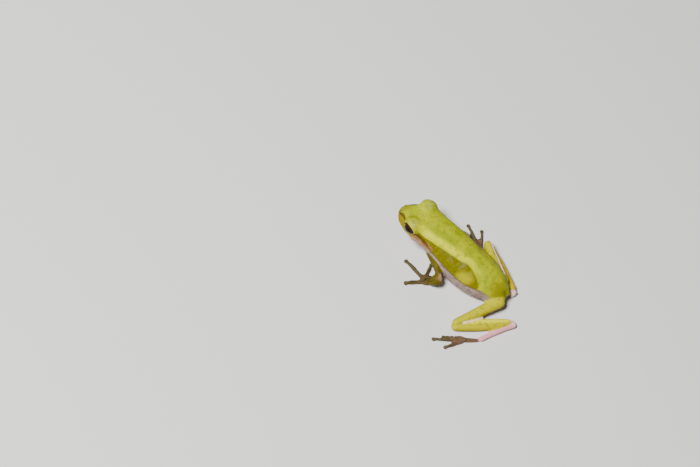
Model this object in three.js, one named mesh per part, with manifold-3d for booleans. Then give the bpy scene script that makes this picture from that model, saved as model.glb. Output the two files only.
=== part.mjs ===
// A life-size eastern dwarf tree frog, sitting with its left hind leg half unfolded.
// Millimetres, +Z up. The snout points along -Y and the frog's left side is +X.
import * as THREE from "three";
import { mergeVertices } from "three/addons/utils/BufferGeometryUtils.js";
import Module from "manifold-3d";

const wasm = await Module();
wasm.setup();

// ---------------------------------------------------------------- driving dimensions

const LENGTH = 27; // snout to vent, and the scale of everything else
const SEAM = 0.3; // gap between two neighbouring parts
const EYE_RADIUS = 0.056 * LENGTH;
const LID = 0.009 * LENGTH; // thickness of the skin that covers the eyeball
const WEB_THICKNESS = 0.5;
const SIDE = { left: 1, right: -1 };

const UP = new THREE.Vector3(0, 0, 1);

/** A point given as shares of the body length: forward of the vent, to the frog's left, above the ground. */
function place(forward, left, up) {
  return new THREE.Vector3(left, -forward, up).multiplyScalar(LENGTH);
}

// ---------------------------------------------------------------- skin colours

const SKINS = {
  back: { color: 0xb9bd45, roughness: 0.5, metalness: 0 },
  limb: { color: 0xc9bb4c, roughness: 0.5, metalness: 0 },
  flesh: { color: 0xb98f6c, roughness: 0.5, metalness: 0 },
  throat: { color: 0xe6d8c4, roughness: 0.55, metalness: 0 },
  eye: { color: 0x5c3a1a, roughness: 0.15, metalness: 0 },
};

// ---------------------------------------------------------------- modelling tools

/** Turns a three.js geometry into a solid that can be joined and cut. */
function solidOf(geometry) {
  const bare = geometry.clone();
  bare.deleteAttribute("normal");
  bare.deleteAttribute("uv");
  const merged = mergeVertices(bare, 1e-4);
  const corners = Array.from(merged.index.array);
  const triangles = [];
  for (let i = 0; i < corners.length; i += 3) {
    const [a, b, c] = corners.slice(i, i + 3);
    if (a !== b && b !== c && c !== a) triangles.push(a, b, c);
  }
  return new wasm.Manifold(
    new wasm.Mesh({
      numProp: 3,
      vertProperties: merged.attributes.position.array,
      triVerts: new Uint32Array(triangles),
    }),
  );
}

/** Turns a solid back into a three.js geometry. */
function geometryOf(solid) {
  const mesh = solid.getMesh();
  const geometry = new THREE.BufferGeometry();
  geometry.setAttribute("position", new THREE.BufferAttribute(mesh.vertProperties, 3));
  geometry.setIndex(new THREE.BufferAttribute(mesh.triVerts, 1));
  geometry.computeVertexNormals();
  return geometry;
}

/** The largest of the bodies that a cut left. */
function largest(solid) {
  return solid.decompose().reduce((best, body) => (body.volume() > best.volume() ? body : best));
}

/** Shares of the length at which rings stand: dense and rounded at both ends, even between. */
function ringShares(startTip, endTip, tipRings, midRings) {
  const shares = [];
  for (let i = 1; i <= tipRings; i++) {
    shares.push(startTip * (1 - Math.cos((i / tipRings) * (Math.PI / 2))));
  }
  for (let i = 1; i < midRings; i++) {
    shares.push(startTip + (1 - startTip - endTip) * (i / midRings));
  }
  for (let i = tipRings; i >= 1; i--) {
    shares.push(1 - endTip * (1 - Math.cos((i / tipRings) * (Math.PI / 2))));
  }
  return shares;
}

/** How far a ring near a rounded end has opened, from 0 at the tip to 1. */
function opening(fromTip, tip) {
  return fromTip >= tip ? 1 : Math.sqrt(1 - (1 - fromTip / tip) ** 2);
}

/** The cosine or sine of an oval ring with the given exponent, where 2 is an ellipse. */
function oval(value, exponent) {
  return Math.sign(value) * Math.abs(value) ** (2 / exponent);
}

/**
 * A closed body of oval rings threaded on a smooth line.
 * Each station is { at, wide, rise, drop, taper, sway }: a point, the ring's reach sideways, up and
 * down in shares of the body length, how much narrower than its middle the ring's top is, and how
 * far its foot leans to the left. tips are the rounded ends' lengths in the same shares, square is
 * the ring's exponent, and by makes the whole body that many mm larger.
 */
function spindle(stations, { sides, midRings, tipRings, tips, square = 2, by }) {
  const line = new THREE.CatmullRomCurve3(stations.map((s) => s.at), false, "catmullrom", 0.5);
  const widths = new THREE.SplineCurve(stations.map((s) => new THREE.Vector2(s.wide * LENGTH, s.taper ?? 0)));
  const heights = new THREE.SplineCurve(
    stations.map((s) => new THREE.Vector2(s.rise, s.drop ?? s.rise).multiplyScalar(LENGTH)),
  );
  const leans = new THREE.SplineCurve(stations.map((s) => new THREE.Vector2((s.sway ?? 0) * LENGTH, 0)));
  const span = line.getLength();
  const [startTip, endTip] = tips.map((tip) => Math.min(0.45, (tip * LENGTH) / span));
  const positions = [];
  const ends = [
    line.getPoint(0).addScaledVector(line.getTangent(0), -by),
    line.getPoint(1).addScaledVector(line.getTangent(1), by),
  ];
  const shares = ringShares(startTip, endTip, tipRings, midRings);
  for (const share of shares) {
    const t = line.getUtoTmapping(share);
    const along = line.getTangent(t);
    const top = UP.clone().addScaledVector(along, -UP.dot(along)).normalize();
    const aside = new THREE.Vector3().crossVectors(top, along);
    const { x: wide, y: taper } = widths.getPoint(t);
    const { x: rise, y: drop } = heights.getPoint(t);
    const sway = leans.getPoint(t).x;
    const open = Math.min(opening(share, startTip), opening(1 - share, endTip));
    const centre = line.getPoint(t);
    for (let j = 0; j < sides; j++) {
      const angle = (j / sides) * 2 * Math.PI;
      const c = oval(Math.cos(angle), square);
      const s = oval(Math.sin(angle), square);
      const height = s > 0 ? rise : drop;
      const point = centre
        .clone()
        .addScaledVector(aside, c * (wide * (1 - taper * s) * open + by) + sway * Math.max(0, -s))
        .addScaledVector(top, s * (height * open + by));
      positions.push(...point.toArray());
    }
  }
  positions.push(...ends[0].toArray(), ...ends[1].toArray());
  const ringCount = shares.length;
  const startPole = ringCount * sides;
  const endPole = startPole + 1;
  const faces = [];
  for (let j = 0; j < sides; j++) {
    const k = (j + 1) % sides;
    faces.push(startPole, k, j);
    for (let i = 0; i < ringCount - 1; i++) {
      const [a, b] = [i * sides + j, i * sides + k];
      faces.push(a, b, b + sides, a, b + sides, a + sides);
    }
    const last = (ringCount - 1) * sides;
    faces.push(endPole, last + j, last + k);
  }
  const geometry = new THREE.BufferGeometry();
  geometry.setAttribute("position", new THREE.Float32BufferAttribute(positions, 3));
  geometry.setIndex(faces);
  return solidOf(geometry);
}

/** A large block whose face passes through a point, on the side that a direction points to. */
function halfSpace(through, direction) {
  const size = 3 * LENGTH;
  const geometry = new THREE.BoxGeometry(size, size, size);
  geometry.translate(0, 0, size / 2);
  geometry.applyQuaternion(new THREE.Quaternion().setFromUnitVectors(UP, direction.clone().normalize()));
  geometry.translate(...through.toArray());
  return solidOf(geometry);
}

const groundBlock = halfSpace(new THREE.Vector3(), new THREE.Vector3(0, 0, -1));

// ---------------------------------------------------------------- trunk and head

// The body line from vent to snout, with its half-width and its reach above and below the line.
// The head's top is narrower than its lips, and the head leans a little, so its left cheek shows more.
const BODY = [
  { at: place(-0.008, 0, 0.105), wide: 0.035, rise: 0.035, drop: 0.035, taper: 0 },
  { at: place(0.05, 0, 0.118), wide: 0.085, rise: 0.06, drop: 0.08, taper: 0.05 },
  { at: place(0.14, 0.014, 0.135), wide: 0.131, rise: 0.085, drop: 0.128, taper: 0.15 },
  { at: place(0.26, 0.02, 0.155), wide: 0.159, rise: 0.102, drop: 0.16, taper: 0.2, sway: -0.004 },
  { at: place(0.4, 0.02, 0.174), wide: 0.166, rise: 0.108, drop: 0.18, taper: 0.2, sway: -0.014 },
  { at: place(0.53, 0.012, 0.196), wide: 0.157, rise: 0.108, drop: 0.162, taper: 0.12, sway: -0.014 },
  { at: place(0.64, 0.008, 0.219), wide: 0.144, rise: 0.1, drop: 0.128, taper: 0.04, sway: -0.006 },
  { at: place(0.72, 0.006, 0.235), wide: 0.147, rise: 0.09, drop: 0.104, taper: 0.02, sway: 0.006 },
  { at: place(0.79, 0.004, 0.247), wide: 0.149, rise: 0.084, drop: 0.092, taper: 0.02, sway: 0.014 },
  { at: place(0.86, 0.017, 0.257), wide: 0.121, rise: 0.06, drop: 0.084, taper: 0.36, sway: 0.018 },
  { at: place(0.92, 0.029, 0.261), wide: 0.086, rise: 0.038, drop: 0.065, taper: 0.5, sway: 0.014 },
  { at: place(0.96, 0.032, 0.263), wide: 0.057, rise: 0.028, drop: 0.045, taper: 0.5, sway: 0.006 },
  { at: place(0.978, 0.032, 0.264), wide: 0.041, rise: 0.022, drop: 0.034, taper: 0.5 },
];
const NECK = place(0.7, 0.01, 0.231);
const HEAD_FORWARD = place(0.965, 0, 0.265).sub(place(0.79, 0, 0.247)).normalize();
const HEAD_UP = new THREE.Vector3(1, 0, 0).cross(HEAD_FORWARD).negate();

// The eye stands at the top corner of the head. Its lids leave free the part beyond a flat cut,
// which faces outward, a little forward and slightly down.
const EYE = { forward: 0.822, middle: 0.01, aside: 0.099, up: 0.289 };
const EYE_LOOK = { outward: 0.95, ahead: 0.27, upward: 0.02 };
const EYE_FLAT = 0.22; // the cut's distance from the eye's centre, in eye radii

// The mouth runs along the head below the eye and ends behind it.
const MOUTH_BELOW_LINE = 0.036;
const JAW_ANGLE = 0.765;

function eyeCentre(side) {
  return place(EYE.forward, EYE.middle + side * EYE.aside, EYE.up);
}

function eyeLook(side) {
  return new THREE.Vector3(side * EYE_LOOK.outward, -EYE_LOOK.ahead, EYE_LOOK.upward).normalize();
}

function torso(by) {
  return spindle(BODY, { sides: 24, midRings: 22, tipRings: 4, tips: [0.05, 0.035], square: 2.2, by });
}

/** A ball around the eye's centre with a flat cut that faces along the look, or against it. */
function domeAtEye(side, radius, cut, facing) {
  const profile = [new THREE.Vector2(0, cut)];
  const edge = Math.asin(cut / radius);
  const steps = 6;
  for (let i = 0; i <= steps; i++) {
    const angle = edge + (i / steps) * (Math.PI / 2 - edge);
    profile.push(new THREE.Vector2(i === steps ? 0 : radius * Math.cos(angle), radius * Math.sin(angle)));
  }
  const geometry = new THREE.LatheGeometry(profile, 18);
  const turn = new THREE.Quaternion().setFromUnitVectors(
    new THREE.Vector3(0, 1, 0),
    eyeLook(side).multiplyScalar(facing),
  );
  geometry.applyQuaternion(turn);
  geometry.translate(...eyeCentre(side).toArray());
  return solidOf(geometry);
}

/** The part of an eyeball that shows between the lids. */
function eyeball(side) {
  return domeAtEye(side, EYE_RADIUS, EYE_FLAT * EYE_RADIUS, 1);
}

/** The bump of skin that holds an eyeball from behind and above. */
function eyeBulge(side, by) {
  return domeAtEye(side, EYE_RADIUS + LID + by, SEAM - EYE_FLAT * EYE_RADIUS, -1);
}

/** The space below the mouth and in front of the jaw's hinge, lowered by a gap in mm. */
function jawRegion(lowered) {
  const mouthLine = place(0.86, 0, 0.258).addScaledVector(HEAD_UP, -MOUTH_BELOW_LINE * LENGTH - lowered);
  const hinge = place(JAW_ANGLE, 0, 0.244).addScaledVector(HEAD_FORWARD, lowered);
  return halfSpace(mouthLine, HEAD_UP.clone().negate()).intersect(halfSpace(hinge, HEAD_FORWARD));
}

function trunk(by) {
  const behind = HEAD_FORWARD.clone().negate();
  const neck = NECK.clone().addScaledVector(behind, -by);
  return torso(by).intersect(halfSpace(neck, behind));
}

/** The head with its eye bumps, cut clear in front of both eyes. */
function wholeHead(by) {
  const front = NECK.clone().addScaledVector(HEAD_FORWARD, SEAM - by);
  let solid = torso(by).add(eyeBulge(SIDE.left, by)).add(eyeBulge(SIDE.right, by));
  for (const side of Object.values(SIDE)) {
    solid = solid.subtract(domeAtEye(side, EYE_RADIUS + SEAM, EYE_FLAT * EYE_RADIUS - SEAM, 1));
  }
  return solid.intersect(halfSpace(front, HEAD_FORWARD));
}

function head(by) {
  return wholeHead(by).subtract(jawRegion(0));
}

function lowerJaw(by) {
  return wholeHead(by).intersect(jawRegion(SEAM));
}

// ---------------------------------------------------------------- limbs

// Joints of each side, as shares of the body length.
const JOINTS = {
  left: {
    shoulder: place(0.66, 0.115, 0.18),
    elbow: place(0.45, 0.235, 0.142),
    wrist: place(0.5, 0.25, 0.03),
    hip: place(0.005, 0.043, 0.1),
    kneeAbove: place(0.18, 0.436, 0.058),
    kneeBelow: place(0.182, 0.443, 0.043),
    heel: place(-0.156, 0.108, 0.032),
    ankle: place(-0.031, 0.382, 0.019),
  },
  right: {
    shoulder: place(0.655, -0.1, 0.18),
    elbow: place(0.478, -0.202, 0.097),
    wrist: place(0.64, -0.165, 0.03),
    hip: place(0.055, -0.04, 0.11),
    kneeAbove: place(0.37, -0.259, 0.105),
    kneeBelow: place(0.362, -0.266, 0.062),
    heel: place(-0.032, -0.074, 0.032),
    ankle: place(0.272, -0.16, 0.019),
  },
};

/** A point between two others, lifted by a share of the body's length. */
function between(from, to, share, lift = 0) {
  return from.clone().lerp(to, share).addScaledVector(UP, lift * LENGTH);
}

/** A limb length: rings of the given half-thicknesses spread from one joint to the next. */
function limb(from, to, girths, options) {
  const last = girths.length - 1;
  const stations = girths.map(([wide, rise], i) => ({ at: between(from, to, i / last), wide, rise }));
  return spindle(stations, options);
}

// Half-thicknesses, sideways and up, from the first joint to the second.
const UPPER_ARM = [[0.032, 0.034], [0.025, 0.028], [0.0195, 0.0215], [0.0215, 0.0215]];
const FOREARM = [[0.028, 0.028], [0.041, 0.039], [0.04, 0.037], [0.032, 0.027], [0.026, 0.02]];
const THIGH = [[0.044, 0.05], [0.043, 0.047], [0.039, 0.041], [0.036, 0.037], [0.034, 0.034], [0.031, 0.031]];
const SHANK = [[0.03, 0.03], [0.038, 0.037], [0.043, 0.041], [0.042, 0.04], [0.038, 0.036], [0.034, 0.032]];
const TARSUS = [[0.032, 0.031], [0.022, 0.022], [0.018, 0.018], [0.017, 0.016], [0.019, 0.016]];
const SHANK_ENDS = 0.94; // the heel's knob is the tarsus's own, so the shank stops short of it

function upperArm(side, by) {
  const { shoulder, elbow } = JOINTS[side];
  return limb(shoulder, elbow, UPPER_ARM, { sides: 12, midRings: 5, tipRings: 2, tips: [0.025, 0.024], by });
}

function forearm(side, by) {
  const { elbow, wrist } = JOINTS[side];
  return limb(elbow, wrist, FOREARM, { sides: 12, midRings: 5, tipRings: 2, tips: [0.022, 0.014], by });
}

function thigh(side, by) {
  const { hip, kneeAbove } = JOINTS[side];
  return limb(hip, kneeAbove, THIGH, { sides: 14, midRings: 6, tipRings: 2, tips: [0.04, 0.03], by });
}

function shank(side, by) {
  const { kneeBelow, heel } = JOINTS[side];
  const end = between(kneeBelow, heel, SHANK_ENDS);
  return limb(kneeBelow, end, SHANK, { sides: 14, midRings: 7, tipRings: 2, tips: [0.028, 0.024], by });
}

function tarsus(side, by) {
  const { heel, ankle } = JOINTS[side];
  return limb(heel, ankle, TARSUS, { sides: 10, midRings: 5, tipRings: 2, tips: [0.024, 0.014], by });
}

// ---------------------------------------------------------------- hands and feet

const PAD_HEIGHT = 0.008; // height of a toe pad's middle above the ground
const PAD_THICK = 0.0115; // half-thickness of a pad

/**
 * One finger or toe: from its knuckle it dips a little, narrows behind the pad and ends in a round
 * flat disc on the ground. girth and pad are half-widths.
 */
function digit(root, tip, { girth, pad, arch }, by) {
  const stations = [
    { share: 0, wide: girth * 1.25, rise: girth * 1.05 },
    { share: 0.35, wide: girth * 1.05, rise: girth },
    { share: 0.6, wide: girth * 1.1, rise: girth, lift: arch },
    { share: 0.78, wide: girth * 0.88, rise: PAD_THICK, lift: arch * 0.4 },
    { share: 0.89, wide: pad * 0.95, rise: PAD_THICK },
    { share: 1, wide: pad * 0.9, rise: PAD_THICK * 0.9 },
  ].map(({ share, wide, rise, lift = 0 }) => ({ at: between(root, tip, share, lift), wide, rise }));
  return spindle(stations, { sides: 7, midRings: 6, tipRings: 2, tips: [0.012, 0.016], by });
}

/** The skin between two digits, from their roots out to a share of each, with a hollow free edge. */
function web(a, b, by) {
  const outA = a.root.clone().lerp(a.tip, a.webTo);
  const outB = b.root.clone().lerp(b.tip, b.webTo);
  const back = a.root.clone().lerp(b.root, 0.5);
  const pull = outA.clone().lerp(outB, 0.5).lerp(back, 0.55);
  const shape = new THREE.Shape();
  shape.moveTo(a.root.x, a.root.y);
  shape.lineTo(outA.x, outA.y);
  shape.quadraticCurveTo(pull.x, pull.y, outB.x, outB.y);
  shape.lineTo(b.root.x, b.root.y);
  const sheet = new THREE.ExtrudeGeometry(shape, {
    depth: WEB_THICKNESS + 2 * by,
    bevelEnabled: false,
    curveSegments: 3,
  });
  sheet.translate(0, 0, -by);
  return solidOf(sheet);
}

const FINGER = { girth: 0.0132, pad: 0.0172, arch: 0.006 };
const TOE = { girth: 0.0108, pad: 0.015, arch: 0.004 };

// A palm or sole is a flat oval that ends beyond the roots of its digits. across is how far from
// its middle line each digit starts, in shares of its half-width, positive to the frog's left.
// Tips are [forward, left] on the ground, from the innermost digit to the outermost.
const HANDS = {
  left: {
    palmTo: [0.578, 0.252],
    fingers: [
      { across: -0.5, tip: [0.462, 0.165] },
      { across: -0.45, tip: [0.582, 0.104] },
      { across: 0, tip: [0.752, 0.212] },
      { across: 0.5, tip: [0.646, 0.373] },
    ],
  },
  right: {
    palmTo: [0.71, -0.172],
    fingers: [
      { across: 0.5, tip: [0.68, -0.065] },
      { across: 0.45, tip: [0.78, -0.085] },
      { across: 0, tip: [0.86, -0.185] },
      { across: -0.5, tip: [0.77, -0.265] },
    ],
  },
};
const PALM = { wide: 0.044, thick: 0.018, height: 0.0175 };

const FEET = {
  left: {
    palmTo: [0.075, 0.468],
    toes: [
      { across: -0.8, tip: [0.105, 0.47], webTo: 0.5 },
      { across: -0.5, tip: [0.148, 0.508], webTo: 0.46 },
      { across: -0.1, tip: [0.192, 0.54], webTo: 0.4 },
      { across: 0.3, tip: [0.238, 0.6], webTo: 0.34 },
      { across: 0.7, tip: [0.132, 0.6], webTo: 0.5 },
    ],
  },
  right: {
    palmTo: [0.385, -0.222],
    toes: [
      { across: 0.8, tip: [0.43, -0.165], webTo: 0.5 },
      { across: 0.5, tip: [0.49, -0.21], webTo: 0.46 },
      { across: 0.1, tip: [0.535, -0.265], webTo: 0.4 },
      { across: -0.3, tip: [0.572, -0.339], webTo: 0.6 },
      { across: -0.7, tip: [0.463, -0.372], webTo: 0.74 },
    ],
  },
};
const SOLE = { wide: 0.02, thick: 0.0155, height: 0.015 };

/** A flat oval body between the wrist or ankle and the roots of the digits. */
function palm(from, to, { wide, thick }, by) {
  const stations = [
    { at: from, wide: wide * 0.6, rise: thick },
    { at: between(from, to, 0.5), wide: wide * 0.9, rise: thick },
    { at: to, wide: wide * 0.95, rise: thick * 0.85 },
  ];
  return spindle(stations, { sides: 10, midRings: 3, tipRings: 2, tips: [0.016, 0.022], by });
}

/** The root and tip of every digit of a hand or foot. */
function digitEnds(from, to, digits, wide) {
  const along = to.clone().sub(from).setZ(0).normalize();
  const aside = new THREE.Vector3().crossVectors(along, UP).negate();
  return digits.map(({ across, tip, webTo }) => ({
    root: to
      .clone()
      .addScaledVector(along, -wide * LENGTH * (0.45 + 0.9 * across ** 2))
      .addScaledVector(aside, across * wide * LENGTH),
    tip: place(...tip, PAD_HEIGHT),
    webTo,
  }));
}

function hand(side, by) {
  const { wrist } = JOINTS[side];
  const { palmTo, fingers } = HANDS[side];
  const front = place(...palmTo, PALM.height);
  let solid = palm(wrist, front, PALM, by);
  for (const { root, tip } of digitEnds(wrist, front, fingers, PALM.wide)) {
    solid = solid.add(digit(root, tip, FINGER, by));
  }
  return solid;
}

function foot(side, by) {
  const { ankle } = JOINTS[side];
  const { palmTo, toes } = FEET[side];
  const front = place(...palmTo, SOLE.height);
  const ends = digitEnds(ankle, front, toes, SOLE.wide);
  let solid = palm(ankle, front, SOLE, by);
  for (const { root, tip } of ends) solid = solid.add(digit(root, tip, TOE, by));
  for (let i = 0; i + 1 < ends.length; i++) solid = solid.add(web(ends[i], ends[i + 1], by));
  return solid;
}

// ---------------------------------------------------------------- assembly

const frog = new THREE.Group();
const placed = [];

/** Adds one named part made of the largest body of a solid. */
function addMesh(name, skin, solid) {
  const mesh = new THREE.Mesh(geometryOf(largest(solid)), new THREE.MeshStandardMaterial(SKINS[skin]));
  mesh.name = name;
  frog.add(mesh);
}

/** Adds a part that is cut off at the ground and keeps a seam from every part added before it. */
function addPart(name, skin, make) {
  let solid = make(0).subtract(groundBlock);
  for (const grown of placed) solid = solid.subtract(grown);
  placed.push(make(SEAM));
  addMesh(name, skin, solid);
}

addMesh("trunk", "back", trunk(0).subtract(groundBlock));
addMesh("head", "back", head(0));
addMesh("lower_jaw", "throat", lowerJaw(0));
placed.push(trunk(SEAM), wholeHead(SEAM));
for (const side of Object.keys(SIDE)) {
  addMesh("eye_" + side, "eye", eyeball(SIDE[side]));
}
for (const side of Object.keys(SIDE)) {
  addPart("upper_arm_" + side, "flesh", (by) => upperArm(side, by));
  addPart("forearm_" + side, "limb", (by) => forearm(side, by));
  addPart("hand_" + side, "flesh", (by) => hand(side, by));
  addPart("tarsus_" + side, "flesh", (by) => tarsus(side, by));
  addPart("foot_" + side, "flesh", (by) => foot(side, by));
  addPart("shank_" + side, "limb", (by) => shank(side, by));
  addPart("thigh_" + side, "limb", (by) => thigh(side, by));
}

// The frame's origin is on the ground, under the middle of the frog's box.
const box = new THREE.Box3().setFromObject(frog);
const middle = box.getCenter(new THREE.Vector3());
frog.position.set(-middle.x, -middle.y, -box.min.z);

export default frog;
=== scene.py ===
"""A small green tree frog, life size, at rest with its hind legs folded.

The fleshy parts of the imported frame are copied, rounded, joined and drawn over with one skin. The eyes stay
pieces of their own. All shaping is done in millimetres, and a finished mesh is turned back to metres.
"""

import logging
import math
from dataclasses import dataclass, field
from enum import Enum

import bmesh
import bpy
import numpy as np
from mathutils import Matrix, Vector
from mathutils.kdtree import KDTree


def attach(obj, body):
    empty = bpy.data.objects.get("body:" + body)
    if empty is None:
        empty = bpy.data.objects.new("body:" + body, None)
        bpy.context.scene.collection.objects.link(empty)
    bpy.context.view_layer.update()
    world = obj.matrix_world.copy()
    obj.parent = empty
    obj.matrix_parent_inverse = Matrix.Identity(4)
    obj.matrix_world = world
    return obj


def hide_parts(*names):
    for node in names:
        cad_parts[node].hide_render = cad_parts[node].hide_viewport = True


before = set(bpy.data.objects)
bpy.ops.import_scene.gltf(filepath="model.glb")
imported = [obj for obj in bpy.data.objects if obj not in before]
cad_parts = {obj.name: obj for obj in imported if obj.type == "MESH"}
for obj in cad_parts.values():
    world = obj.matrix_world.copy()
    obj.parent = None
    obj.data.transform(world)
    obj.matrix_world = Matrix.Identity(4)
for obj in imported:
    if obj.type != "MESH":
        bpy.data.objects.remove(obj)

Socket = bpy.types.NodeSocket
log = logging.getLogger("tree_frog")
PER_MM = 0.001
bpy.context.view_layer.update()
LENGTH = 27.0  # mm from snout to vent
# The middle between the eyes, in shares of that length ahead of the vent, to its left and above the floor.
EYES_AT = (0.822, 0.01, 0.289)
FORWARD = Vector((0.0, -0.9947, 0.1023))  # of the head, which is raised 6 degrees
UPWARD = Vector((0.0, 0.1023, 0.9947))
# How far left the midline stands at so many mm ahead of the middle between the eyes, and ahead of the vent.
HEAD_BEND = ([-0.9, 1.0, 2.7, 3.8], [-0.15, 0.19, 0.51, 0.59])
BACK_BEND = ([0.0, 3.8, 7.0, 10.8, 14.3, 17.3, 19.4], [0.0, 0.38, 0.54, 0.54, 0.32, 0.2, 0.16])


# ---------------------------------------------------------------- small tools


def steps(low: float, high: float, value: np.ndarray) -> np.ndarray:
    """Smooth step from 0 at low to 1 at high."""
    t = np.clip((value - low) / (high - low), 0.0, 1.0)
    return t * t * (3 - 2 * t)


def bell(value: np.ndarray, width: float | np.ndarray) -> np.ndarray:
    """Bell curve of that half width, 1 at value 0."""
    return np.exp(-((value / width) ** 2))


def height_on(path: list, ahead: np.ndarray) -> np.ndarray:
    """The second coordinate of a path that runs from front to back, at places that far ahead."""
    return np.interp(-ahead, [-corner[0] for corner in path], [corner[1] for corner in path])


def along(points: np.ndarray, path: list) -> tuple[np.ndarray, np.ndarray]:
    """Distance of each point from a path, and how far along it the nearest place is.

    Args:
        points: one row a point, in as many coordinates as the path has.
        path: the path's corners in order.

    Returns:
        The distances, and the places as shares of the path's length, from 0 to 1.
    """
    path = np.asarray(path, float)
    lengths = np.linalg.norm(np.diff(path, axis=0), axis=1)
    starts = np.concatenate([[0], np.cumsum(lengths)])
    nearest = np.full(len(points), np.inf)
    where = np.zeros(len(points))
    for a, b, length, start in zip(path[:-1], path[1:], lengths, starts):
        t = np.clip((points - a) @ (b - a) / length**2, 0, 1)
        gap = np.linalg.norm(points - a - t[:, None] * (b - a), axis=1)
        closer = gap < nearest
        nearest[closer] = gap[closer]
        where[closer] = (start + t * length)[closer] / starts[-1]
    return nearest, where


def lumps(at: np.ndarray, size: float, seed: int, waves: int = 9) -> np.ndarray:
    """Soft irregular lumps and hollows, from about -1 to 1.

    Args:
        at: points in mm, one row each.
        size: how far one lump is from the next, in mm.
        seed: which of many such patterns.
        waves: how many plain waves the pattern is made of.

    Returns:
        The height at each point.
    """
    chance = np.random.default_rng(seed)
    ways = chance.normal(size=(waves, 3))
    ways *= (2 * math.pi / size * chance.uniform(0.75, 1.4, waves) / np.linalg.norm(ways, axis=1))[:, None]
    return np.sin(at @ ways.T + chance.uniform(0, 2 * math.pi, waves)).sum(1) / math.sqrt(waves)


def tree_of(points: np.ndarray) -> KDTree:
    """Sorts points so that the nearest one is quickly found.

    Args:
        points: one row a point.

    Returns:
        The tree, which numbers the points in their order.
    """
    tree = KDTree(len(points))
    for index, point in enumerate(points):
        tree.insert(point, index)
    tree.balance()
    return tree


def made_object(name: str, data: bpy.types.ID) -> bpy.types.Object:
    """Puts something in the scene.

    Args:
        name: the object's name.
        data: its mesh, lamp or camera.

    Returns:
        The object.
    """
    made = bpy.data.objects.new(name, data)
    bpy.context.scene.collection.objects.link(made)
    return made


def settled(made: bpy.types.Object) -> bpy.types.Mesh:
    """Applies an object's modifiers, and removes the object.

    Args:
        made: the object.

    Returns:
        Its mesh with the modifiers applied.
    """
    bpy.context.view_layer.update()
    shown = made.evaluated_get(bpy.context.evaluated_depsgraph_get())
    mesh = bpy.data.meshes.new_from_object(shown)
    old = made.data
    bpy.data.objects.remove(made)
    bpy.data.meshes.remove(old)
    return mesh


def vertex_places(mesh: bpy.types.Mesh, kind: str = "co") -> np.ndarray:
    """Reads a mesh's vertices.

    Args:
        mesh: the mesh.
        kind: co for places, normal for outward directions.

    Returns:
        One row a vertex.
    """
    read = np.empty(len(mesh.vertices) * 3, np.float32)
    mesh.vertices.foreach_get(kind, read)
    return read.reshape(-1, 3).astype(float)


class Form:
    """A closed mesh whose vertices are moved in code, as a sculptor's brushes would."""

    def __init__(self, mesh: bpy.types.Mesh) -> None:
        """Reads the mesh's vertices and edges.

        Args:
            mesh: the mesh, in mm.
        """
        self.mesh = mesh
        self.at = vertex_places(mesh)
        ends = np.empty(len(mesh.edges) * 2, np.int32)
        mesh.edges.foreach_get("vertices", ends)
        self.first, self.second = ends.reshape(-1, 2).T
        count = len(self.at)
        self.spokes = np.bincount(self.first, minlength=count) + np.bincount(self.second, minlength=count)

    def normals(self) -> np.ndarray:
        """Puts the vertices where they are now in the mesh.

        Returns:
            Their outward directions, one row each.
        """
        self.mesh.vertices.foreach_set("co", self.at.astype(np.float32).ravel())
        self.mesh.update()
        return vertex_places(self.mesh, "normal")

    def spread(self, values: np.ndarray, rounds: int) -> np.ndarray:
        """Softens values over the surface.

        Args:
            values: one value a vertex.
            rounds: how often each goes halfway to its neighbours' mean.

        Returns:
            The softened values.
        """
        for _ in range(rounds):
            total = np.bincount(self.first, values[self.second], len(values))
            total += np.bincount(self.second, values[self.first], len(values))
            values = 0.5 * values + 0.5 * (total / self.spokes)
        return values

    def relax(self, rounds: int, share: np.ndarray | float = 1.0, keep: float = 0.0) -> None:
        """Evens the surface out.

        Args:
            rounds: how often each vertex is moved halfway to its neighbours' mean.
            share: how much of that each vertex takes.
            keep: how much of each move is taken back again, so that thin parts keep their girth.
        """
        share = np.broadcast_to(share, len(self.at))
        moving = share > 0.002
        near = moving[self.first] | moving[self.second]
        used = np.unique(np.concatenate([self.first[near], self.second[near]]))
        place = np.zeros(len(self.at), np.int64)
        place[used] = np.arange(len(used))
        first, second = place[self.first[near]], place[self.second[near]]
        part, spokes = 0.5 * (share * moving)[used], self.spokes[used]
        columns = [self.at[used, k] for k in range(3)]
        for _ in range(rounds):
            for sign in (1.0, -keep) if keep else (1.0,):
                for k, v in enumerate(columns):
                    total = np.bincount(first, v[second], len(v)) + np.bincount(second, v[first], len(v))
                    columns[k] = v + sign * part * (total / spokes - v)
        self.at[used] = np.column_stack(columns)

    def push(self, distance: np.ndarray | float) -> None:
        """Moves every vertex outward by that many mm."""
        self.at = self.at + self.normals() * np.broadcast_to(distance, len(self.at))[:, None]


# ---------------------------------------------------------------- the animal


class Side(Enum):
    """The frog's own left and right, as the sign of X."""

    LEFT = 1
    RIGHT = -1


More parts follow.
